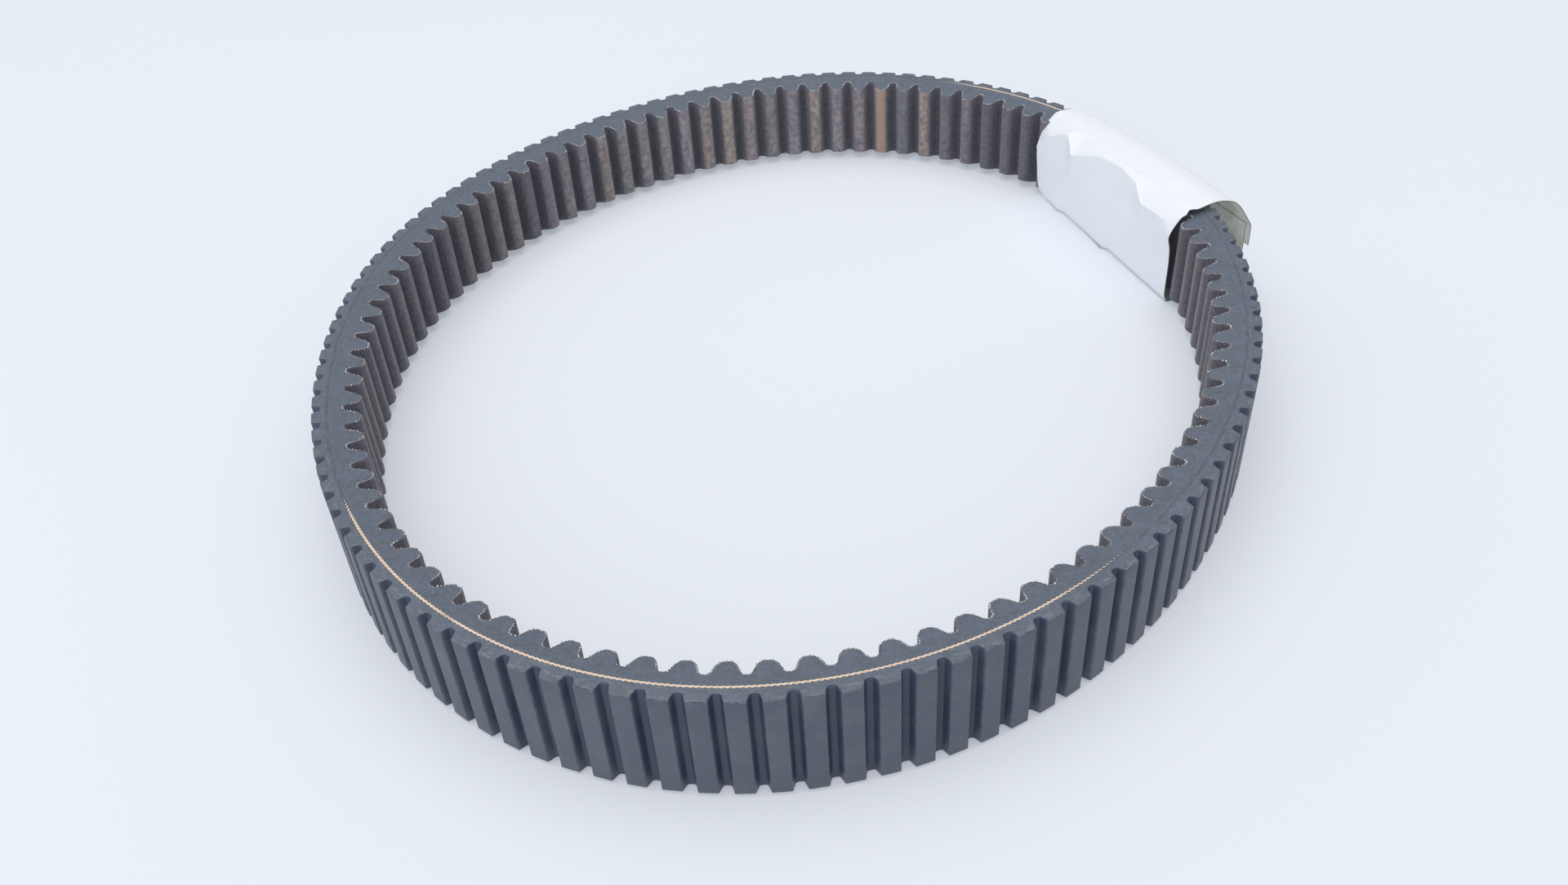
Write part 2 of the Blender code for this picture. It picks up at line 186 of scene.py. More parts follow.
# closes a run of rings into one solid, with two coordinate maps in mm:
# place holds run and depth, sweep holds the arc along the outline and the height
def ringSolid(name, rings, body):
    count = len(rings[0]["run"])
    points = np.concatenate([placed(r["run"], r["depth"], r["height"]) for r in rings]) * mm
    here, after = np.arange(count), (np.arange(count) + 1) % count
    faces, place, sweep, kinds = [], [], [], []
    for k, ring in enumerate(rings):
        other = rings[(k + 1) % len(rings)]
        low, high = k * count, (k + 1) % len(rings) * count
        faces.append(np.stack([low + here, low + after, high + after, high + here], 1))
        cornersPlace, cornersSweep = [], []
        for r, shift in ((ring, 0), (ring, 1), (other, 1), (other, 0)):
            run = np.append(r["run"], r["run"][0] + beltLength)[shift:shift + count]
            depth = np.append(r["depth"], r["depth"][0])[shift:shift + count]
            tall = np.append(r["height"], r["height"][0])[shift:shift + count]
            arc = arcAlong(r["run"], r["depth"])[shift:shift + count]
            cornersPlace.append(np.stack([run, depth], 1))
            cornersSweep.append(np.stack([arc, tall], 1))
        place.append(np.stack(cornersPlace, 1))
        sweep.append(np.stack(cornersSweep, 1))
        kinds.append(np.full(count, ring["finish"]))
    faces, place, sweep = (np.concatenate(a) for a in (faces, place, sweep))
    a, b, c, d = (points[faces[:, k]] for k in range(4))
    volume = (np.cross(a, b) * c).sum() + (np.cross(a, c) * d).sum()
    if volume < 0:
        faces, place, sweep = faces[:, ::-1], place[:, ::-1], sweep[:, ::-1]
    piece = meshPiece(name, points, faces.tolist(), body, np.concatenate(kinds))
    for mapName, values in (("place", place), ("sweep", sweep)):
        layer = piece.data.uv_layers.new(name=mapName)
        layer.uv.foreach_set("vector", values.astype(np.float32).ravel())
    return piece


# kinds says which of the piece's materials each face has
def meshPiece(name, points, faces, body, kinds=None):
    mesh = bpy.data.meshes.new(name)
    mesh.from_pydata([tuple(p) for p in points], [], faces)
    mesh.shade_smooth()
    mesh.set_sharp_from_angle(angle=math.radians(sharpAngle))
    if kinds is not None:
        mesh.polygons.foreach_set("material_index", kinds.astype(np.int32))
    piece = bpy.data.objects.new(name, mesh)
    bpy.context.scene.collection.objects.link(piece)
    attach(piece, body)
    return piece


def wobble(*at):
    return noise.noise(Vector(at))


# one ring on a ground side face; finish is the material of the faces up to the next ring
def side(run, depth, sign, finish=0):
    return dict(run=run, depth=depth, height=sign * halfWidth(depth), finish=finish)


# rings over a moulded face from its upper edge to its lower one
# its ground edges are rounded over and worn unevenly
def mouldedFace(run, depth, away, rows, finish):
    along, across = belt["wearSpread"]
    wear = np.array([wobble(r / along, d / across, belt["wearSeed"]) for r, d in zip(run, depth)])
    edge = belt["edge"] + belt["wear"] * np.clip(wear, 0, 1)
    rings = []
    for share in belt["edgeRows"]:
        shiftRun, shiftDepth = drawnBack(run, depth, away * edge * share)
        height = halfWidth(depth) - edge * (1 - share) * belt["edgeDrop"]
        rings.append(dict(run=shiftRun, depth=shiftDepth, height=height, finish=finish))
    for k in range(rows + 1):
        height = (halfWidth(depth) - edge) * (1 - 2 * k / rows)
        rings.append(dict(run=run, depth=depth, height=height, finish=finish))
    for ring in rings[1::-1]:
        rings.append(dict(ring, height=-ring["height"]))
    rings[-1]["finish"] = 0
    return rings


def makeOvercordRubber():
    run, depth = outerCogLine()
    base = np.full_like(run, belt["overcordDepth"])
    rings = [side(run, base, 1)] + mouldedFace(run, depth, away=-1, rows=6, finish=1)
    rings.append(side(run, base, -1, 2))
    return ringSolid("overcordRubber", rings, "belt")


cushionSteps = 1200                 # round the loop


def makeCushion(name, outer, inner):
    run = np.linspace(0, beltLength, cushionSteps, endpoint=False)
    rings = []
    for depth, sign, finish in ((inner, 1, 0), (outer, 1, 1), (outer, -1, 0), (inner, -1, 1)):
        rings.append(side(run, np.full_like(run, depth), sign, finish))
    return ringSolid(name, rings, "belt")


def makeCogRubber():
    run, depth = innerCogLine()
    run, depth = drawnBack(run, depth, innerCogs["cloth"])
    base = np.full_like(run, belt["cogRubberDepth"])
    rings = [side(run, depth, 1), side(run, base, 1, 1), side(run, base, -1), side(run, depth, -1, 1)]
    return ringSolid("cogRubber", rings, "belt")


def makeCogCloth():
    run, depth = innerCogLine()
    backRun, backDepth = drawnBack(run, depth, innerCogs["cloth"])
    rings = [side(backRun, backDepth, 1)] + mouldedFace(run, depth, away=1, rows=8, finish=1)
    rings.append(side(backRun, backDepth, -1, 2))
    return ringSolid("cogCloth", rings, "belt")


# cut ends of the cloth's threads, standing a little proud all along its edge on both side faces
fringe = dict(
    spacing=1.05, length=0.36, thickness=0.21, lean=0.22, seed=7,
    setBack=0.45,                   # share of the cloth's thickness
    thickest=(0.6, 1.25), longest=(0.35, 1.0), stray=(0.12, 0.1),
    # shares of the length and of the thickness
    corners=5, taper=((-0.15, 1.0), (0.6, 0.85), (1.0, 0.35)),
)


def makeClothFringe():
    rng = random.Random(fringe["seed"])
    run, depth = innerCogLine()
    run, depth = drawnBack(run, depth, innerCogs["cloth"] * fringe["setBack"])
    arc = arcAlong(run, depth)
    stops = np.arange(0, arc[-1], fringe["spacing"])
    runs = np.interp(stops, arc, np.append(run, run[0] + beltLength))
    depths = np.interp(stops, arc, np.append(depth, depth[0]))
    corners, levels = fringe["corners"], len(fringe["taper"]) - 1
    points, faces = [], []
    for at, deep in zip(runs, depths):
        for sign in (1, -1):
            size = fringe["thickness"] * rng.uniform(*fringe["thickest"])
            tall = fringe["length"] * rng.uniform(*fringe["longest"])
            lean = [rng.uniform(-1, 1) * fringe["lean"] for axis in range(2)]
            root = [rng.uniform(-most, most) for most in fringe["stray"]]
            top = float(halfWidth(deep))
            first = len(points)
            for ring, spread in fringe["taper"]:
                for corner in range(corners):
                    turn = 2 * math.pi * corner / corners
                    across = at + root[0] + spread * size * math.cos(turn) + lean[0] * ring
                    inward = deep + root[1] + spread * size * math.sin(turn) + lean[1] * ring
                    points.append((across, inward, sign * (top + tall * ring)))
            for level in range(levels):
                low = first + level * corners
                for corner in range(corners):
                    a, b = low + corner, low + (corner + 1) % corners
                    faces.append([a, b, b + corners, a + corners][::sign])
            faces.append([first + levels * corners + corner for corner in range(corners)][::sign])
            faces.append([first + corner for corner in range(corners)][::-sign])
    points = np.array(points)
    return meshPiece("clothFringe", placed(*points.T) * mm, faces, "belt")


# tension cord: three strands twisted together, wound from the lower face to the upper one
cord = dict(
    diameter=1.14, turns=22, twist=4.6, strand=0.33, strands=3, margin=0.1,
    stepsHidden=150, sidesHidden=8, stepShown=0.42, sidesShown=7,
    # stretches of the last turn that the grinding laid bare, as shares of the loop: start, full, full, end
    bare=((0.590, 0.612, 0.815, 0.862), (0.02, 0.05, 0.165, 0.198)),
    proud=0.22, wornAway=0.8, sunk=-0.12,
)


# adds a capped tube along a path of points to a mesh that is being gathered
def tube(points, faces, path, radius, sides):
    along = np.gradient(path, axis=0)
    along /= np.linalg.norm(along, axis=1)[:, None]
    level = np.cross(along, np.array([0, 0, 1.0]))
    level /= np.linalg.norm(level, axis=1)[:, None]
    up = np.cross(level, along)
    first = len(points)
    for p, a, b in zip(path, level, up):
        for k in range(sides):
            turn = 2 * math.pi * k / sides
            points.append(p + radius * (math.cos(turn) * a + math.sin(turn) * b))
    for ring in range(len(path) - 1):
        for k in range(sides):
            a, b = first + ring * sides + k, first + ring * sides + (k + 1) % sides
            faces.append([a, b, b + sides, a + sides])
    faces.append([first + k for k in range(sides)][::-1])
    faces.append([first + (len(path) - 1) * sides + k for k in range(sides)])


def makeTensionCord():
    points, faces = [], []
    radius = cord["diameter"] / 2
    reach = belt["width"] / 2 - radius - cord["margin"]
    total = (cord["turns"] - 1) * cord["stepsHidden"]
    run = np.arange(total + 1) * beltLength / cord["stepsHidden"]
    drop = np.linspace(-reach, reach - cord["diameter"], total + 1)
    tube(points, faces, placed(run, belt["cordDepth"], drop), radius, cord["sidesHidden"])
    for start, rise, fall, end in cord["bare"]:
        run = np.arange(start * beltLength, end * beltLength, cord["stepShown"])
        shares = run / beltLength
        heights = (cord["sunk"], cord["proud"], cord["proud"] * cord["wornAway"], cord["sunk"])
        bare = np.interp(shares, (start, rise, fall, end), heights)
        middle = belt["width"] / 2 - radius + bare
        for strand in range(cord["strands"]):
            turn = 2 * math.pi * (run / cord["twist"] + strand / cord["strands"])
            out = radius - cord["strand"]
            path = placed(run, belt["cordDepth"] + out * np.cos(turn), middle + out * np.sin(turn))
            tube(points, faces, path, cord["strand"], cord["sidesShown"])
    return meshPiece("tensionCord", np.array(points) * mm, faces, "belt")


# card sleeve, in mm: outlines at its two ends, as (distance in from a wall's face, height)
sleeve = dict(
    angle=28.0, length=100.6, card=0.4, stations=110, smooth=6, sameStation=0.02,
    # the overlap on the outer wall: the end underneath, and the flap that bends down over it
    underTop=0.4, underEnd=20.0, flapLift=0.75, flapTop=27.6, flapBend=(0.8, 3.0), flapEnd=18.6,
    inner=((4.6, 0.4), (1.8, 1.4), (0.7, 5.5), (0.0, 17.5)),
    head=dict(
        roof=((10.0, 38.2), (9.0, 38.3)), outer=((3.2, 37.8), (1.0, 36.2), (0.0, 33.0)),
        low=((0.0, 5.0), (0.8, 1.4), (3.4, 0.4)),
    ),
    foot=dict(
        roof=((10.0, 39.4), (16.0, 40.5)), outer=((8.6, 38.7), (3.4, 34.4), (0.2, 28.6)),
        low=((0.8, 12.0), (3.2, 3.6), (8.0, 0.5)),
    ),
    # how the fold between inner wall and roof wanders: share of the length, distance in, height
    fold=(
        (0.0, -0.6, 30.2), (0.09, -0.5, 32.4), (0.19, 0.9, 37.0), (0.215, 0.8, 36.6), (0.27, -0.9, 31.4),
        (0.36, 0.6, 34.6), (0.44, 2.2, 37.2), (0.49, 3.3, 37.4), (0.58, 3.4, 38.0), (0.69, 2.6, 37.0),
        (0.735, 0.9, 35.0), (0.785, -0.8, 33.4), (0.86, -0.6, 33.8), (1.0, -1.8, 35.2),
    ),
    # how wide that fold is rounded along the length
    ease=((0.0, 5.0), (0.06, 1.6), (0.12, 0.8), (0.88, 0.8), (0.94, 1.6), (1.0, 5.0)),
    # how the bottom edge steps in, as a share of its corner
    hem=(
        (0.0, 1.9), (0.05, 1.1), (0.17, 0.6), (0.205, 1.15), (0.40, 0.9), (0.53, 0.55), (0.56, 1.25),
        (0.8, 0.9), (1.0, 0.8),
    ),
    # how the card curves on the fold's two sides, up to where the roof is flat
    bulge=(0.6, 0.25), arch=(0.72, 0.2), ridge=(2.5, 0.25), crownWidth=1.5,
    # creases: how deep in mm, and how many along and round the card; they fade out towards the table
    crumple=dict(depth=0.34, along=7, around=9, seed=3.1),
    fine=dict(depth=0.10, along=26, around=34, seed=8.7),
    flatBelow=8.0, creasedAbove=24.0,
    # ragged cut ends: how far they wander in mm, and how far the flap stands out past them
    ragged=dict(
        waves=14, seeds=(0.5, 9.5), layer=1.7, head=0.35, foot=1.5, reach=14,
        flap=2.0, flapFrom=0.86, flapFade=0.05,
    ),
)


# the sleeve lies along the chord of the crests beneath it; its walls are read off the frame's own card
def sleeveWalls():
    bearing = np.unwrap(np.arctan2(*loopLine.T[::-1]))
    middle = np.interp(math.radians(sleeve["angle"]), bearing, loopRun)
    ends = [placed(middle + s * sleeve["length"] / 2, belt["thickness"], 0)[:2] for s in (1, -1)]
    along = (ends[1] - ends[0]) / np.linalg.norm(ends[1] - ends[0])
    out = np.array([-along[1], along[0]])
    head = (ends[0] + ends[1]) / 2 - along * sleeve["length"] / 2
    points = np.array([v.co[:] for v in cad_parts["sleeve_card"].data.vertices]) / mm
    distance, across = (points[:, :2] - head) @ along, (points[:, :2] - head) @ out
    stations = np.array(sorted(set(np.round(distance, 2))))
    walls = [across[np.abs(distance - d) < sleeve["sameStation"]] for d in stations]
    near = np.array([wall.min() for wall in walls])
    far = np.array([wall.max() for wall in walls]) - sleeve["flapLift"]
    return head, along, out, stations, near, far


# curve through the points, with even steps from each to the next
def smoothLine(points, steps):
    points = np.array(points, float)
    padded = np.concatenate([[2 * points[0] - points[1]], points, [2 * points[-1] - points[-2]]])
    line = []
    for k in range(1, len(padded) - 2):
        a, b, c, d = padded[k - 1:k + 3]
        for s in np.arange(steps) / steps:
            bend = (2 * a - 5 * b + 4 * c - d) * s ** 2 + (3 * b - a - 3 * c + d) * s ** 3
            line.append(0.5 * (2 * b + (c - a) * s + bend))
    line.append(padded[-2])
    return np.array(line)


# outline of the card's outer face at a share of the sleeve's length
def cardOutline(share, near, far):
    roof, outer, low = (
        (1 - share) * np.array(sleeve["head"][key]) + share * np.array(sleeve["foot"][key])
        for key in ("roof", "outer", "low")
    )
    foldShares, foldIn, foldHeight = np.array(sleeve["fold"]).T
    fold = np.array([np.interp(share, foldShares, foldIn), np.interp(share, foldShares, foldHeight)])
    wall, ridge = np.array(sleeve["inner"][-1]), roof[0] - sleeve["ridge"]
    below, above = (end - fold for end in (wall, ridge))
    ease, hem = (np.interp(share, *np.array(sleeve[key]).T) for key in ("ease", "hem"))
    (wallShare, wallOut), (roofShare, roofUp) = sleeve["bulge"], sleeve["arch"]
    inner = [(reach * hem, tall) for reach, tall in sleeve["inner"]]
    inner.append(fold + below * wallShare - (wallOut, 0))
    inner += [fold + way * ease / np.linalg.norm(way) for way in (below, above)]
    inner = np.array(inner + [fold + above * roofShare + (0, roofUp), ridge])
    crown = np.array([(near + roof[0, 0], roof[0, 1]), (far - roof[1, 0], roof[1, 1])])
    inner[:, 0], outer[:, 0], low[:, 0] = near + inner[:, 0], far - outer[:, 0], far - low[:, 0]
    crown[1, 0] = max(crown[1, 0], crown[0, 0] + sleeve["crownWidth"])
    lift = sleeve["flapLift"]
    bendShare, bendDrop = sleeve["flapBend"]
    start = [(far, sleeve["flapTop"] - sleeve["underTop"]), (far, sleeve["underEnd"])]
    end = [(far + lift * bendShare, sleeve["flapTop"] - bendDrop), (far + lift, sleeve["flapEnd"])]
    lines = (start, low, inner, crown, outer, end)
    return smoothLine(np.concatenate([np.array(line) for line in lines]), sleeve["smooth"])


# faces of a sheet with two skins, each a grid of points, the second skin's points after the first's
def sheetFaces(rows, columns, order):
    count = rows * columns
    index = np.arange(count).reshape(rows, columns)
    corners = (index[:-1, :-1], index[:-1, 1:], index[1:, 1:], index[1:, :-1])
    quads = np.stack(corners, -1).reshape(-1, 4)
    rim = np.concatenate([index[0, :], index[1:, -1], index[-1, -2::-1], index[-2:0:-1, 0]])
    after = np.roll(rim, -1)
    edge = np.stack([after, rim, rim + count, after + count], 1)
    return quads[:, ::order], (quads + count)[:, ::-order], edge[:, ::order]


def makeSleeveCard():
    head, along, out, stations, near, far = sleeveWalls()
    length, ragged = sleeve["length"], sleeve["ragged"]
    headSeed, footSeed = ragged["seeds"]
    outerSkin, innerSkin = [], []
    for share in np.linspace(0, 1, sleeve["stations"]):
        line = cardOutline(share, *(np.interp(share * length, stations, wall) for wall in (near, far)))
        step = np.gradient(line, axis=0)
        step /= np.linalg.norm(step, axis=1)[:, None]
        normal = np.stack([-step[:, 1], step[:, 0]], 1)
        reach = np.arange(len(line)) / (len(line) - 1)
        crumple, fine = (
            np.array([wobble(share * crease["along"], s * crease["around"], crease["seed"]) for s in reach])
            for crease in (sleeve["crumple"], sleeve["fine"])
        )
        creased = sleeve["crumple"]["depth"] * np.abs(crumple) + sleeve["fine"]["depth"] * fine
        upper = (line[:, 1] - sleeve["flatBelow"]) / (sleeve["creasedAbove"] - sleeve["flatBelow"])
        line = line + normal * (np.clip(upper, 0, 1) * creased)[:, None]
        seed = headSeed if share < 0.5 else footSeed
        torn = np.array([wobble(s * ragged["waves"], seed, ragged["layer"]) for s in reach])
        headPull, footPull = max(0, 1 - share * ragged["reach"]), max(0, 1 - (1 - share) * ragged["reach"])
        onFlap = np.clip((reach - ragged["flapFrom"]) / ragged["flapFade"], 0, 1)
        slip = torn * ragged["head"] * headPull
        slip = slip + footPull * (torn * ragged["foot"] + ragged["flap"] * onFlap)
        for skin, lift in ((outerSkin, 0), (innerSkin, -sleeve["card"])):
            section = line + normal * lift
            plan = head + np.outer(share * length + slip, along) + section[:, :1] * out
            skin.append(np.column_stack([plan, section[:, 1]]))
    points = np.concatenate(outerSkin + innerSkin)
    points[:, 2] -= points[:, 2].min()
    groups = sheetFaces(len(outerSkin), len(outerSkin[0]), 1)
    kinds = np.repeat([0, 1, 2], [len(group) for group in groups])
    return meshPiece("sleeveCard", points * mm, np.concatenate(groups).tolist(), "sleeve", kinds)


# clear tape, in mm: onFlap is the share of its width that lies on the flap, step how it falls to the wall
tape = dict(
    width=12.0, thickness=0.12, onFlap=0.4, ends=(0.08, 0.92), stations=40, lift=0.05, clear=0.3,
    step=(0.3, 0.9), settled=15.0,
)


def makeSleeveTape():
    head, along, out, stations, near, far = sleeveWalls()
    length = sleeve["length"]
    flapEnd, (over, under) = sleeve["flapEnd"], tape["step"]
    top = flapEnd + tape["width"] * tape["onFlap"]
    flapHeights = (top, (top + flapEnd) / 2, flapEnd + over)
    wallHeights = (flapEnd - under, tape["settled"], top - tape["width"])
    outer, inner = [], []
    for share in np.linspace(*tape["ends"], tape["stations"]):
        wall = cardOutline(share, *(np.interp(share * length, stations, line) for line in (near, far)))
        flap, single = wall[-sleeve["smooth"] * 2:], wall[:sleeve["smooth"] * 3]
        for line, heights in ((flap, flapHeights), (single, wallHeights)):
            for height in heights:
                reach = np.interp(height, line[::-1, 1], line[::-1, 0]) + tape["clear"]
                for skin, lift in ((inner, tape["lift"]), (outer, tape["lift"] + tape["thickness"])):
                    skin.append((*(head + share * length * along + (reach + lift) * out), height))
    faces = np.concatenate(sheetFaces(tape["stations"], len(flapHeights + wallHeights), -1))
    return meshPiece("sleeveTape", np.array(outer + inner) * mm, faces.tolist(), "sleeve")


# wraps a socket, so that shader maths is written as plain expressions
class Field:
    def __init__(self, finish, socket):
        self.finish, self.socket = finish, socket

    def maths(self, operation, *others):
        sockets = dict(enumerate((self, *others)))
        return self.finish.node("Math", dict(operation=operation), sockets)

    def __add__(self, other):
        return self.maths("ADD", other)

    def __sub__(self, other):
        return self.maths("SUBTRACT", other)

    def __rsub__(self, other):
        return self.finish.node("Math", dict(operation="SUBTRACT"), {0: other, 1: self})

    def __mul__(self, other):
        return self.maths("MULTIPLY", other)

    __radd__ = __add__
    __rmul__ = __mul__

    def sin(self):
        return self.maths("SINE")

    def abs(self):
        return self.maths("ABSOLUTE")

    def floor(self):
        return self.maths("FLOOR")

    def most(self, other):
        return self.maths("MAXIMUM", other)

    def power(self, other):
        return self.maths("POWER", other)

    # 0 below low, 1 above high, smooth between
    def ramp(self, low, high):
        settings = dict(interpolation_type="SMOOTHSTEP", clamp=True)
        return self.finish.node("MapRange", settings, {"Value": self, "From Min": low, "From Max": high})

    # a vector with each of its parts multiplied
    def scaled(self, *factors):
        return self.finish.node("VectorMath", dict(operation="MULTIPLY"), {0: self, 1: factors})

    def part(self, axis):
        return self.finish.node("SeparateXYZ", {}, {0: self}, out=axis)


# a material, with one method that makes any node
class Finish:
    def __init__(self, name, **values):
        self.material = bpy.data.materials.new(name)
        self.material.use_nodes = True
        self.tree = self.material.node_tree
        self.shader = self.tree.nodes["Principled BSDF"]
        for key, value in values.items():
            self.shader.inputs[key.replace("_", " ")].default_value = value

    def node(self, kind, settings, sockets, out=0):
        made = self.tree.nodes.new("ShaderNode" + kind)
        for key, value in settings.items():
            setattr(made, key, value)
        for key, value in sockets.items():
            self.give(made.inputs[key], value)
        return Field(self, made.outputs[out])

    def give(self, socket, value):
        if isinstance(value, Field):
            self.tree.links.new(value.socket, socket)
        else:
            socket.default_value = value

    def feed(self, **fields):
        for key, value in fields.items():
            self.give(self.shader.inputs[key.replace("_", " ")], value)

    def map(self, name):
        return self.node("UVMap", dict(uv_map=name), {})

    def spot(self):
        return self.node("TexCoord", {}, {}, out="Object")

    def noise(self, vector, scale, detail=3.0, roughness=0.55):
        sockets = {"Vector": vector, "Scale": scale, "Detail": detail, "Roughness": roughness}
        return self.node("TexNoise", {}, sockets)

    # the Mix node's colour sockets are 6 and 7, and its colour comes out of 2
    def mix(self, factor, first, second):
        return self.node("Mix", dict(data_type="RGBA"), {0: factor, 6: first, 7: second}, out=2)

    def bump(self, height, strength, distance):
        return self.node("Bump", {}, {"Strength": strength, "Distance": distance, "Height": height})


# colours are linear; each finish's bump is its strength and its height in metres
def tint(r, g, b):
    return (r, g, b, 1.0)


# ground side faces: slate, matt, with long grinding streaks and a darker line where the cord lies
groundRubber = dict(
    colour=tint(0.099, 0.116, 0.165), worn=tint(0.165, 0.186, 0.235), cordLine=tint(0.056, 0.066, 0.088),
    scuffed=tint(0.23, 0.24, 0.235), mottle=tint(0.088, 0.118, 0.132),
    speck=tint(0.6, 0.62, 0.65), bump=(0.35, 0.00012),
    # in mm of depth: the line over the cord, the paler lines beside it, and where it is rubbed by the lands
    cordWidth=(0.25, 0.9), besideAt=0.9, besideWidth=(0.1, 0.5), rubbedTo=(1.8, 3.8),
)


def makeGroundRubber():
    look = groundRubber
    finish = Finish("groundRubber")
    place, spot = finish.map("place"), finish.spot()
    depth = place.part(1)
    cloudy = finish.noise(spot, 55.0, 4.0)
    streaks = finish.noise(place.scaled(0.35, 7.0, 1.0), 1.0, 4.0, 0.7)
    scratches = finish.noise(place.scaled(3.2, 0.55, 1.0), 1.0, 2.0, 0.6)
    colour = finish.mix((cloudy - 0.5) * 0.9 + 0.25, look["colour"], look["worn"])
    mottled, speckled = finish.noise(spot, 260.0, 4.0), finish.noise(spot, 900.0, 2.0)
    colour = finish.mix(mottled.ramp(0.35, 0.7) * 0.7, colour, look["mottle"])
    colour = finish.mix(speckled.ramp(0.45, 0.65) * 0.28, colour, look["worn"])
    colour = finish.mix((1 - speckled.ramp(0.32, 0.5)) * 0.2, colour, look["cordLine"])
    colour = finish.mix(streaks.ramp(0.52, 0.72) * 0.5, colour, look["worn"])
    colour = finish.mix(streaks.ramp(0.30, 0.45) * -0.22 + 0.22, colour, look["cordLine"])
    # broken dark lines, and pale ones beside them, where the grinding went close over the cord
    broken = finish.noise(place.scaled(0.22, 1.6, 1.0), 1.0, 3.0, 0.7)
    fromCord = (depth - belt["cordDepth"]).abs()
    atCord = 1 - fromCord.ramp(*look["cordWidth"])
    colour = finish.mix(atCord * broken.ramp(0.42, 0.58) * 0.5, colour, look["cordLine"])
    besideCord = 1 - (fromCord - look["besideAt"]).abs().ramp(*look["besideWidth"])
    colour = finish.mix(besideCord * broken.ramp(0.5, 0.66) * 0.55, colour, look["scuffed"])
    # rubbed patches between the cord and the lands
    rubbed = finish.noise(place.scaled(0.30, 0.8, 1.0), 1.0, 4.0, 0.7).ramp(0.50, 0.66)
    nearLand = 1 - depth.ramp(*look["rubbedTo"])
    colour = finish.mix(rubbed * nearLand * 0.65, colour, look["scuffed"])
    specks = finish.noise(spot, 1500.0, 1.0).ramp(0.80, 0.84)
    colour = finish.mix(specks * 0.7, colour, look["speck"])
    grain = finish.noise(spot, 2600.0, 2.0)
    height = streaks * 0.5 + scratches * 0.25 + grain * 0.35 - atCord * broken * 0.4
    finish.feed(
        Base_Color=colour,
        Roughness=0.52 + 0.22 * cloudy + 0.08 * streaks,
        Normal=finish.bump(height, *look["bump"]),
    )
    return finish.material


# moulded outer rubber: a fine diagonal cloth print on the lands, fine cross ribs in the grooves, which are
# painted darker as shade, with a painted highlight along their roots
landRubber = dict(
    colour=tint(0.058, 0.068, 0.116), paintedGrooveShade=tint(0.032, 0.047, 0.092), edge=tint(0.20, 0.22, 0.26),
    dust=tint(0.16, 0.17, 0.19), mossy=tint(0.066, 0.088, 0.100),
    printPitch=0.62, printTurn=62.0, ribPitch=0.95, bump=(0.6, 0.00009),
    # in mm: where the groove's finish and its painted shade start, the lands' rubbed ends, and the groove's
    # root, lightened as a painted highlight
    grooveFrom=(0.35, 0.9), landEnds=(0.75, 0.3), rootHighlightWidth=0.25,
)


def makeLandRubber():
    look = landRubber
    finish = Finish("landRubber")
    place, sweep, spot = finish.map("place"), finish.map("sweep"), finish.spot()
    depth, arc, tall = place.part(1), sweep.part(0), sweep.part(1)
    turn = math.radians(look["printTurn"])
    waves = 2 * math.pi / look["printPitch"]
    twill = (arc * (math.sin(turn) * waves) + tall * (math.cos(turn) * waves)).sin()
    weft = (arc * (math.cos(turn) * waves) - tall * (math.sin(turn) * waves)).sin()
    ribs = (tall * (2 * math.pi / look["ribPitch"])).sin()
    inGroove = depth.ramp(*look["grooveFrom"])
    cloudy = finish.noise(spot, 70.0, 4.0)
    patchy = finish.noise(spot, 420.0, 3.0)
    # the grooves take a darker colour: painted shade in the recesses between the lands
    colour = finish.mix(inGroove, look["colour"], look["paintedGrooveShade"])
    colour = finish.mix(patchy.ramp(0.35, 0.7) * (1 - inGroove) * 0.8, colour, look["mossy"])
    colour = finish.mix((cloudy - 0.45).most(0.0) * 1.2, colour, look["dust"])
    colour = finish.mix((ribs * 0.5 + 0.5) * inGroove * 0.25, colour, look["mossy"])
    colour = finish.mix((twill * 0.5 + 0.5) * 0.28 * (1 - inGroove), colour, look["dust"])
    # rubbed along the lands' ends and long edges
    landEnds = (belt["width"] / 2 - inwards for inwards in look["landEnds"])
    ends = tall.abs().ramp(*landEnds) * (1 - inGroove)
    colour = finish.mix(ends * patchy.ramp(0.35, 0.6) * 0.75, colour, look["edge"])
    corners = depth.ramp(0.02, 0.10) * (1 - depth.ramp(0.25, 0.6))
    colour = finish.mix(corners * patchy.ramp(0.4, 0.7) * 0.35, colour, look["edge"])
    # painted highlight: the groove's root is lightened back towards the lands' colour
    root = depth.ramp(outerCogs["depth"] - look["rootHighlightWidth"], outerCogs["depth"])
    colour = finish.mix(root * 0.45, colour, look["colour"])
    specks = finish.noise(spot, 1300.0, 1.0).ramp(0.80, 0.84)
    colour = finish.mix(specks * 0.8, colour, look["edge"])
    height = (twill * 0.5 + weft * 0.3) * (1 - inGroove) + ribs * 0.7 * inGroove + patchy * 0.5
    finish.feed(Base_Color=colour, Roughness=0.34 + 0.2 * cloudy, Normal=finish.bump(height, *look["bump"]))
    return finish.material


# cloth over the cogs: bias weave, dark mauve, its crests rubbed to a shade of each cog's own, and painted
# lighter along one stretch of the loop as painted light
cogCloth = dict(
    colour=tint(0.074, 0.073, 0.104), brown=tint(0.094, 0.078, 0.092), thread=tint(0.44, 0.42, 0.43),
    rubbed=(
        tint(0.43, 0.355, 0.31), tint(0.36, 0.305, 0.335), tint(0.31, 0.315, 0.30), tint(0.17, 0.175, 0.20),
    ),
    tan=tint(0.385, 0.258, 0.195), tanCog=20, tanWidth=(0.19, 0.23), pitch=0.85, sheen=0.25,
    bump=(0.7, 0.00012), crestDepth=(2.2, 0.2),  # mm below the crests' tops
    # where along the loop the crests are painted lighter, as painted light on the cogs that face the light,
    # as shares: start, full, full, end
    paintedLightStretch=(0.13, 0.20, 0.31, 0.45),
)


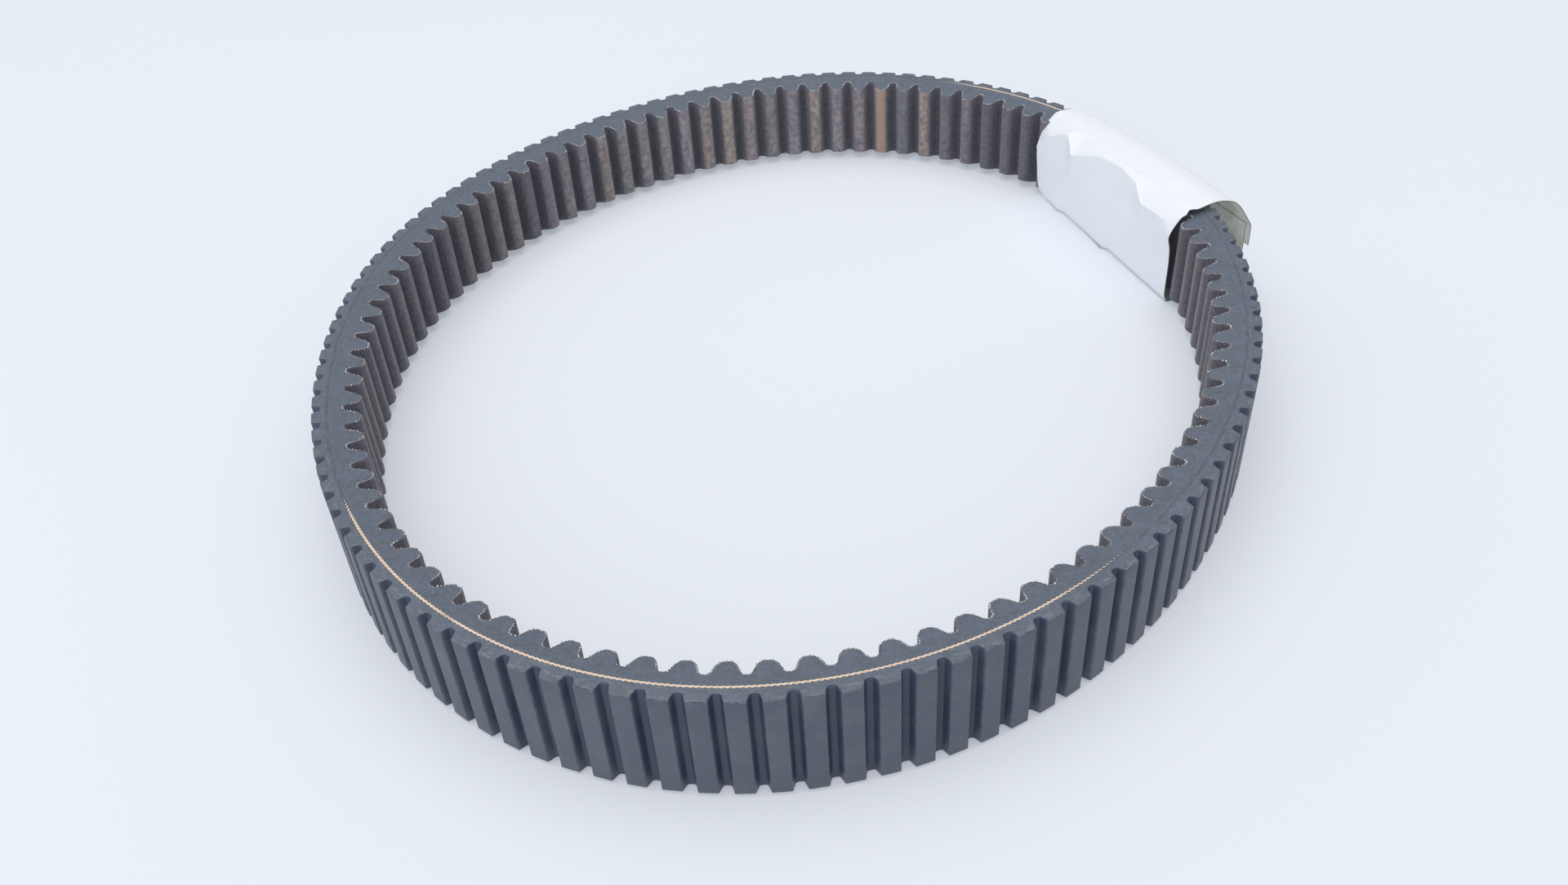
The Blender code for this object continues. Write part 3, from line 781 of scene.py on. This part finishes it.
def makeCogClothFinish():
    look = cogCloth
    finish = Finish("cogClothFinish", Sheen_Weight=look["sheen"], Sheen_Roughness=0.5)
    place, sweep, spot = finish.map("place"), finish.map("sweep"), finish.spot()
    run, depth, arc, tall = place.part(0), place.part(1), sweep.part(0), sweep.part(1)
    turns = 2 * math.pi / look["pitch"] / math.sqrt(2)
    warp, weft = ((arc + tall) * turns).sin(), ((arc - tall) * turns).sin()
    woven = warp * weft
    cog = run * (innerCogs["count"] / beltLength) - innerCogs["phase"]
    own = finish.node("TexWhiteNoise", dict(noise_dimensions="1D"), {"W": (cog + 0.5).floor()})
    fuzzy, worn = finish.noise(spot, 900.0, 3.0), finish.noise(spot, 420.0, 4.0)
    cloudy = finish.noise(spot, 60.0, 3.0)
    crest = depth.ramp(*(belt["thickness"] - inwards for inwards in look["crestDepth"]))
    start, full, fade, end = look["paintedLightStretch"]
    share = run * (1 / beltLength)
    # painted light: the crests along this stretch of the loop are painted lighter, as if lit more
    paintedLightStretch = share.ramp(start, full) * (1 - share.ramp(fade, end))
    shade = finish.mix(own.ramp(0.22, 0.34), look["rubbed"][0], look["rubbed"][1])
    shade = finish.mix(own.ramp(0.48, 0.60), shade, look["rubbed"][2])
    shade = finish.mix(own.ramp(0.76, 0.86), shade, look["rubbed"][3])
    colour = finish.mix((woven * 0.5 + 0.5) * 0.35 + cloudy * 0.3, look["colour"], look["brown"])
    patchy = (0.25 + 0.75 * worn.ramp(0.25, 0.75)) * (0.6 + 0.8 * cloudy)
    colour = finish.mix(crest * patchy * (0.22 + paintedLightStretch * 0.68), colour, shade)
    onTan = 1 - (cog - look["tanCog"]).abs().ramp(*look["tanWidth"])
    colour = finish.mix(onTan * (0.75 + 0.25 * fuzzy), colour, look["tan"])
    threads = (woven * 0.5 + 0.5).power(4.0) * fuzzy.ramp(0.46, 0.6)
    colour = finish.mix(threads * 0.5, colour, look["thread"])
    height = woven + fuzzy * 0.8
    finish.feed(Base_Color=colour, Roughness=0.72 + 0.2 * worn, Normal=finish.bump(height, *look["bump"]))
    return finish.material


# the cloth's cut edge on the side faces: pale thread ends in dark rubber
cutCloth = dict(
    rubber=tint(0.085, 0.09, 0.11), thread=tint(0.46, 0.46, 0.49), pitch=1.05, bump=(0.5, 0.0001),
)


def makeCutCloth():
    look = cutCloth
    finish = Finish("cutCloth")
    sweep, spot = finish.map("sweep"), finish.spot()
    beads = (sweep.part(0) * (math.pi / look["pitch"])).sin().abs()
    patchy = finish.noise(spot, 300.0, 3.0)
    shown = beads.ramp(0.45, 0.8) * patchy.ramp(0.38, 0.6) * 0.8
    height = beads + patchy
    finish.feed(
        Base_Color=finish.mix(shown, look["rubber"], look["thread"]),
        Roughness=0.65 + 0.2 * patchy,
        Normal=finish.bump(height, *look["bump"]),
    )
    return finish.material


threadEnds = dict(
    colour=tint(0.90, 0.90, 0.93), dark=tint(0.20, 0.20, 0.22), sheen=0.3, bump=(0.4, 0.00005),
)


def makeThreadEnds():
    finish = Finish("threadEnds", Sheen_Weight=threadEnds["sheen"])
    patchy = finish.noise(finish.spot(), 260.0, 4.0)
    fuzz = finish.noise(finish.spot(), 5000.0, 2.0)
    colour = finish.mix(patchy.ramp(0.42, 0.62), threadEnds["dark"], threadEnds["colour"])
    finish.feed(Base_Color=colour, Roughness=0.7 + 0.2 * fuzz, Normal=finish.bump(fuzz, *threadEnds["bump"]))
    return finish.material


yarn = dict(
    colour=tint(0.74, 0.52, 0.37), pale=tint(0.85, 0.70, 0.58), soiled=tint(0.42, 0.24, 0.15),
    sheen=0.3, bump=(0.5, 0.00008),
)


def makeYarn():
    finish = Finish("cordYarn", Sheen_Weight=yarn["sheen"])
    spot = finish.spot()
    fibres, patchy = finish.noise(spot, 2600.0, 3.0), finish.noise(spot, 90.0, 3.0)
    colour = finish.mix(fibres.ramp(0.3, 0.7), yarn["colour"], yarn["pale"])
    colour = finish.mix(patchy.ramp(0.58, 0.8) * 0.5, colour, yarn["soiled"])
    finish.feed(Base_Color=colour, Roughness=0.6 + 0.25 * fibres, Normal=finish.bump(fibres, *yarn["bump"]))
    return finish.material


card = dict(
    white=tint(0.85, 0.875, 0.92), shade=tint(0.825, 0.855, 0.90), soiled=tint(0.72, 0.72, 0.70),
    # the grey near the table is a painted contact shadow along the bottom edges
    paintedContactShadow=tint(0.30, 0.30, 0.31), contactShadowHeight=(0.2, 1.5), bump=(0.12, 0.0001),
)


def makeCardFace():
    finish = Finish("cardFace")
    spot = finish.spot()
    cloudy, fibres = finish.noise(spot, 28.0, 3.0), finish.noise(spot, 700.0, 4.0)
    colour = finish.mix(cloudy.ramp(0.35, 0.7) * 0.5, card["white"], card["shade"])
    colour = finish.mix(fibres.ramp(0.66, 0.8) * 0.12, colour, card["soiled"])
    # painted contact shadow: grey along the bottom edges, where the card stands on the table
    tall = spot.part(2) * (1 / mm)
    contactShadowMask = (1 - tall.ramp(*card["contactShadowHeight"])) * (0.5 + 0.5 * cloudy)
    height = fibres + cloudy * 2
    finish.feed(
        Base_Color=finish.mix(contactShadowMask, colour, card["paintedContactShadow"]),
        Roughness=0.42 + 0.2 * cloudy,
        Normal=finish.bump(height, *card["bump"]),
    )
    return finish.material


# the card's uncoated inside: grey green board, with painted shade towards the inner wall and a faint painted
# glow all over
cardBack = dict(
    # dark is the board's dark fibres, and also the painted shade near the inner wall
    board=tint(0.58, 0.61, 0.55), dark=tint(0.13, 0.165, 0.16), pale=tint(0.76, 0.77, 0.74),
    paintedShadeTo=(6.0, 14.0),             # mm out from the chord of the crests: all painted shade, all plain board
    through=0.22,                   # painted glow in the board's own colour, standing in for light that comes through the thin card
    bump=(0.3, 0.0001),
)


def makeCardBack():
    # the inside glows a little: painted light for what shines through the thin card
    finish = Finish("cardBack", Emission_Strength=cardBack["through"])
    spot = finish.spot()
    cloudy, fibres = finish.noise(spot, 120.0, 3.0), finish.noise(spot, 1400.0, 4.0)
    colour = finish.mix(cloudy.ramp(0.4, 0.62), cardBack["board"], cardBack["pale"])
    colour = finish.mix(fibres.ramp(0.45, 0.7) * 0.25, colour, cardBack["dark"])
    head, along, out, stations, near, far = sleeveWalls()
    outwards = spot.part(0) * (out[0] / mm) + spot.part(1) * (out[1] / mm) - float(out @ head)
    # painted shade: dark near the inner wall, where the inside of the sleeve lies in shadow
    colour = finish.mix(outwards.ramp(*cardBack["paintedShadeTo"]), cardBack["dark"], colour)
    finish.feed(
        Base_Color=colour,
        Emission_Color=colour,
        Roughness=0.65 + 0.2 * fibres,
        Normal=finish.bump(fibres, *cardBack["bump"]),
    )
    return finish.material


cardEdge = dict(board=tint(0.26, 0.29, 0.23), roughness=0.8, bump=(0.4, 0.0001))


def makeCardEdge():
    finish = Finish("cardEdge", Roughness=cardEdge["roughness"])
    fibres = finish.noise(finish.spot(), 1800.0, 3.0)
    colour = finish.mix(fibres.ramp(0.3, 0.7), cardBack["dark"], cardEdge["board"])
    finish.feed(Base_Color=colour, Normal=finish.bump(fibres, *cardEdge["bump"]))
    return finish.material


clearTape = dict(
    alpha=0.22, colour=tint(0.88, 0.90, 0.88), pale=tint(0.96, 0.97, 0.96), bump=(0.15, 0.0003),
)


def makeClearTape():
    finish = Finish("clearTape", Alpha=clearTape["alpha"], IOR=1.48)
    cloudy = finish.noise(finish.spot(), 90.0, 3.0)
    finish.feed(
        Base_Color=finish.mix(cloudy, clearTape["colour"], clearTape["pale"]),
        Roughness=0.08 + 0.12 * cloudy,
        Normal=finish.bump(cloudy, *clearTape["bump"]),
    )
    return finish.material


# a pale table lit a little from below, so that shadows on it stay light
floor = dict(
    size=16.0, colour=tint(0.500, 0.522, 0.550), shade=tint(0.488, 0.509, 0.537),
    glow=tint(0.870, 0.912, 1.0), glowShade=tint(0.850, 0.892, 0.98), glowStrength=0.345,
    below=0.0001,                   # metres under the part
)


def makeFloor():
    half = floor["size"] / 2
    corners = [(-half, -half, 0), (half, -half, 0), (half, half, 0), (-half, half, 0)]
    mesh = bpy.data.meshes.new("floor")
    mesh.from_pydata(corners, [], [(0, 1, 2, 3)])
    piece = bpy.data.objects.new("floor", mesh)
    bpy.context.scene.collection.objects.link(piece)
    piece.location = (0, 0, cadLow[2] - floor["below"])
    finish = Finish("floorCloth", Emission_Strength=floor["glowStrength"])
    cloudy = finish.noise(finish.spot(), 2.2, 2.0)
    finish.feed(
        Base_Color=finish.mix(cloudy, floor["colour"], floor["shade"]),
        Emission_Color=finish.mix(cloudy, floor["glow"], floor["glowShade"]),
        Roughness=0.85 + 0.1 * cloudy,
    )
    mesh.materials.append(finish.material)


# camera: target and distance in loop radii, angles in degrees, focal length against the frame's width
view = dict(
    target=(-0.0337, -0.2618), distance=2.539, elevation=38.19, roll=-4.09, focal=1574.0, wide=1920,
    sensor=36.0, clip=(0.02, 50),
)


def makeCamera():
    data = bpy.data.cameras.new("camera")
    data.sensor_width = view["sensor"]
    data.lens = view["focal"] / view["wide"] * view["sensor"]
    camera = bpy.data.objects.new("camera", data)
    bpy.context.scene.collection.objects.link(camera)
    tilt, roll = math.radians(view["elevation"]), math.radians(view["roll"])
    back = Vector((0, -math.cos(tilt), math.sin(tilt)))
    right = Vector((1, 0, 0))
    up = back.cross(right)
    across = math.cos(roll) * right + math.sin(roll) * up
    upwards = math.cos(roll) * up - math.sin(roll) * right
    size = loop["radius"] * mm
    target = Vector((*(beltCentre * mm), outerLow[2])) + Vector((*view["target"], 0)) * size
    turned = Matrix((across, upwards, back)).transposed().to_4x4()
    camera.matrix_world = Matrix.Translation(target + back * view["distance"] * size) @ turned
    data.clip_start, data.clip_end = view["clip"]
    bpy.context.scene.camera = camera


# soft studio light: pale surround, one wide overhead panel and a weaker fill
studio = dict(
    surround=(0.915, 0.955, 1.0), surroundStrength=0.50,
    panels=(
        dict(name="overheadPanel", place=(-0.15, -0.2, 3.0), size=4.4, power=80.0, colour=(1.0, 0.99, 0.975)),
        dict(name="frontFill", place=(-1.5, -1.9, 0.95), size=1.8, power=15.0, colour=(0.97, 0.98, 1.0)),
    ),
)


def makeStudio():
    world = bpy.data.worlds.new("surround")
    world.use_nodes = True
    shade = world.node_tree.nodes["Background"]
    shade.inputs["Color"].default_value = (*studio["surround"], 1)
    shade.inputs["Strength"].default_value = studio["surroundStrength"]
    bpy.context.scene.world = world
    for panel in studio["panels"]:
        data = bpy.data.lights.new(panel["name"], "AREA")
        data.shape, data.size = "SQUARE", panel["size"]
        data.energy, data.color = panel["power"], panel["colour"]
        light = bpy.data.objects.new(panel["name"], data)
        light.location = panel["place"]
        light.rotation_euler = (-light.location).to_track_quat("-Z", "Y").to_euler()
        bpy.context.scene.collection.objects.link(light)
    bpy.context.scene.view_settings.view_transform = "Standard"


# gives a piece its materials and hides the frame's nodes that it stands in for
def dress(piece, slot, nodes, *materials):
    for material in materials:
        piece.data.materials.append(material)
    if nodes:
        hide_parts(*nodes)


makeCamera()
makeStudio()
makeFloor()
print("camera, light and floor made")

ground, lands, cloth = makeGroundRubber(), makeLandRubber(), makeCogClothFinish()
cut, thread = makeCutCloth(), makeThreadEnds()
dress(makeOvercordRubber(), "outer_rubber", ["overcord_rubber"], ground, lands, ground)
upperCushion = makeCushion("upperCushion", belt["overcordDepth"], belt["cordDepth"])
lowerCushion = makeCushion("lowerCushion", belt["cordDepth"], belt["cogRubberDepth"])
dress(upperCushion, "cushion_rubber", ["upper_cushion"], ground, ground)
dress(lowerCushion, "cushion_rubber", ["lower_cushion"], ground, ground)
dress(makeCogRubber(), "cog_rubber", ["cog_rubber"], ground, ground)
dress(makeCogCloth(), "cog_cloth", ["cog_fabric"], cut, cloth, cloth)
dress(makeClothFringe(), "cog_cloth", [], thread)
dress(makeTensionCord(), "cord_yarn", ["tension_cord"], makeYarn())
print("belt made")

dress(makeSleeveCard(), "white_card", ["sleeve_card"], makeCardFace(), makeCardBack(), makeCardEdge())
dress(makeSleeveTape(), "clear_tape", ["sleeve_tape"], makeClearTape())
print("sleeve made")
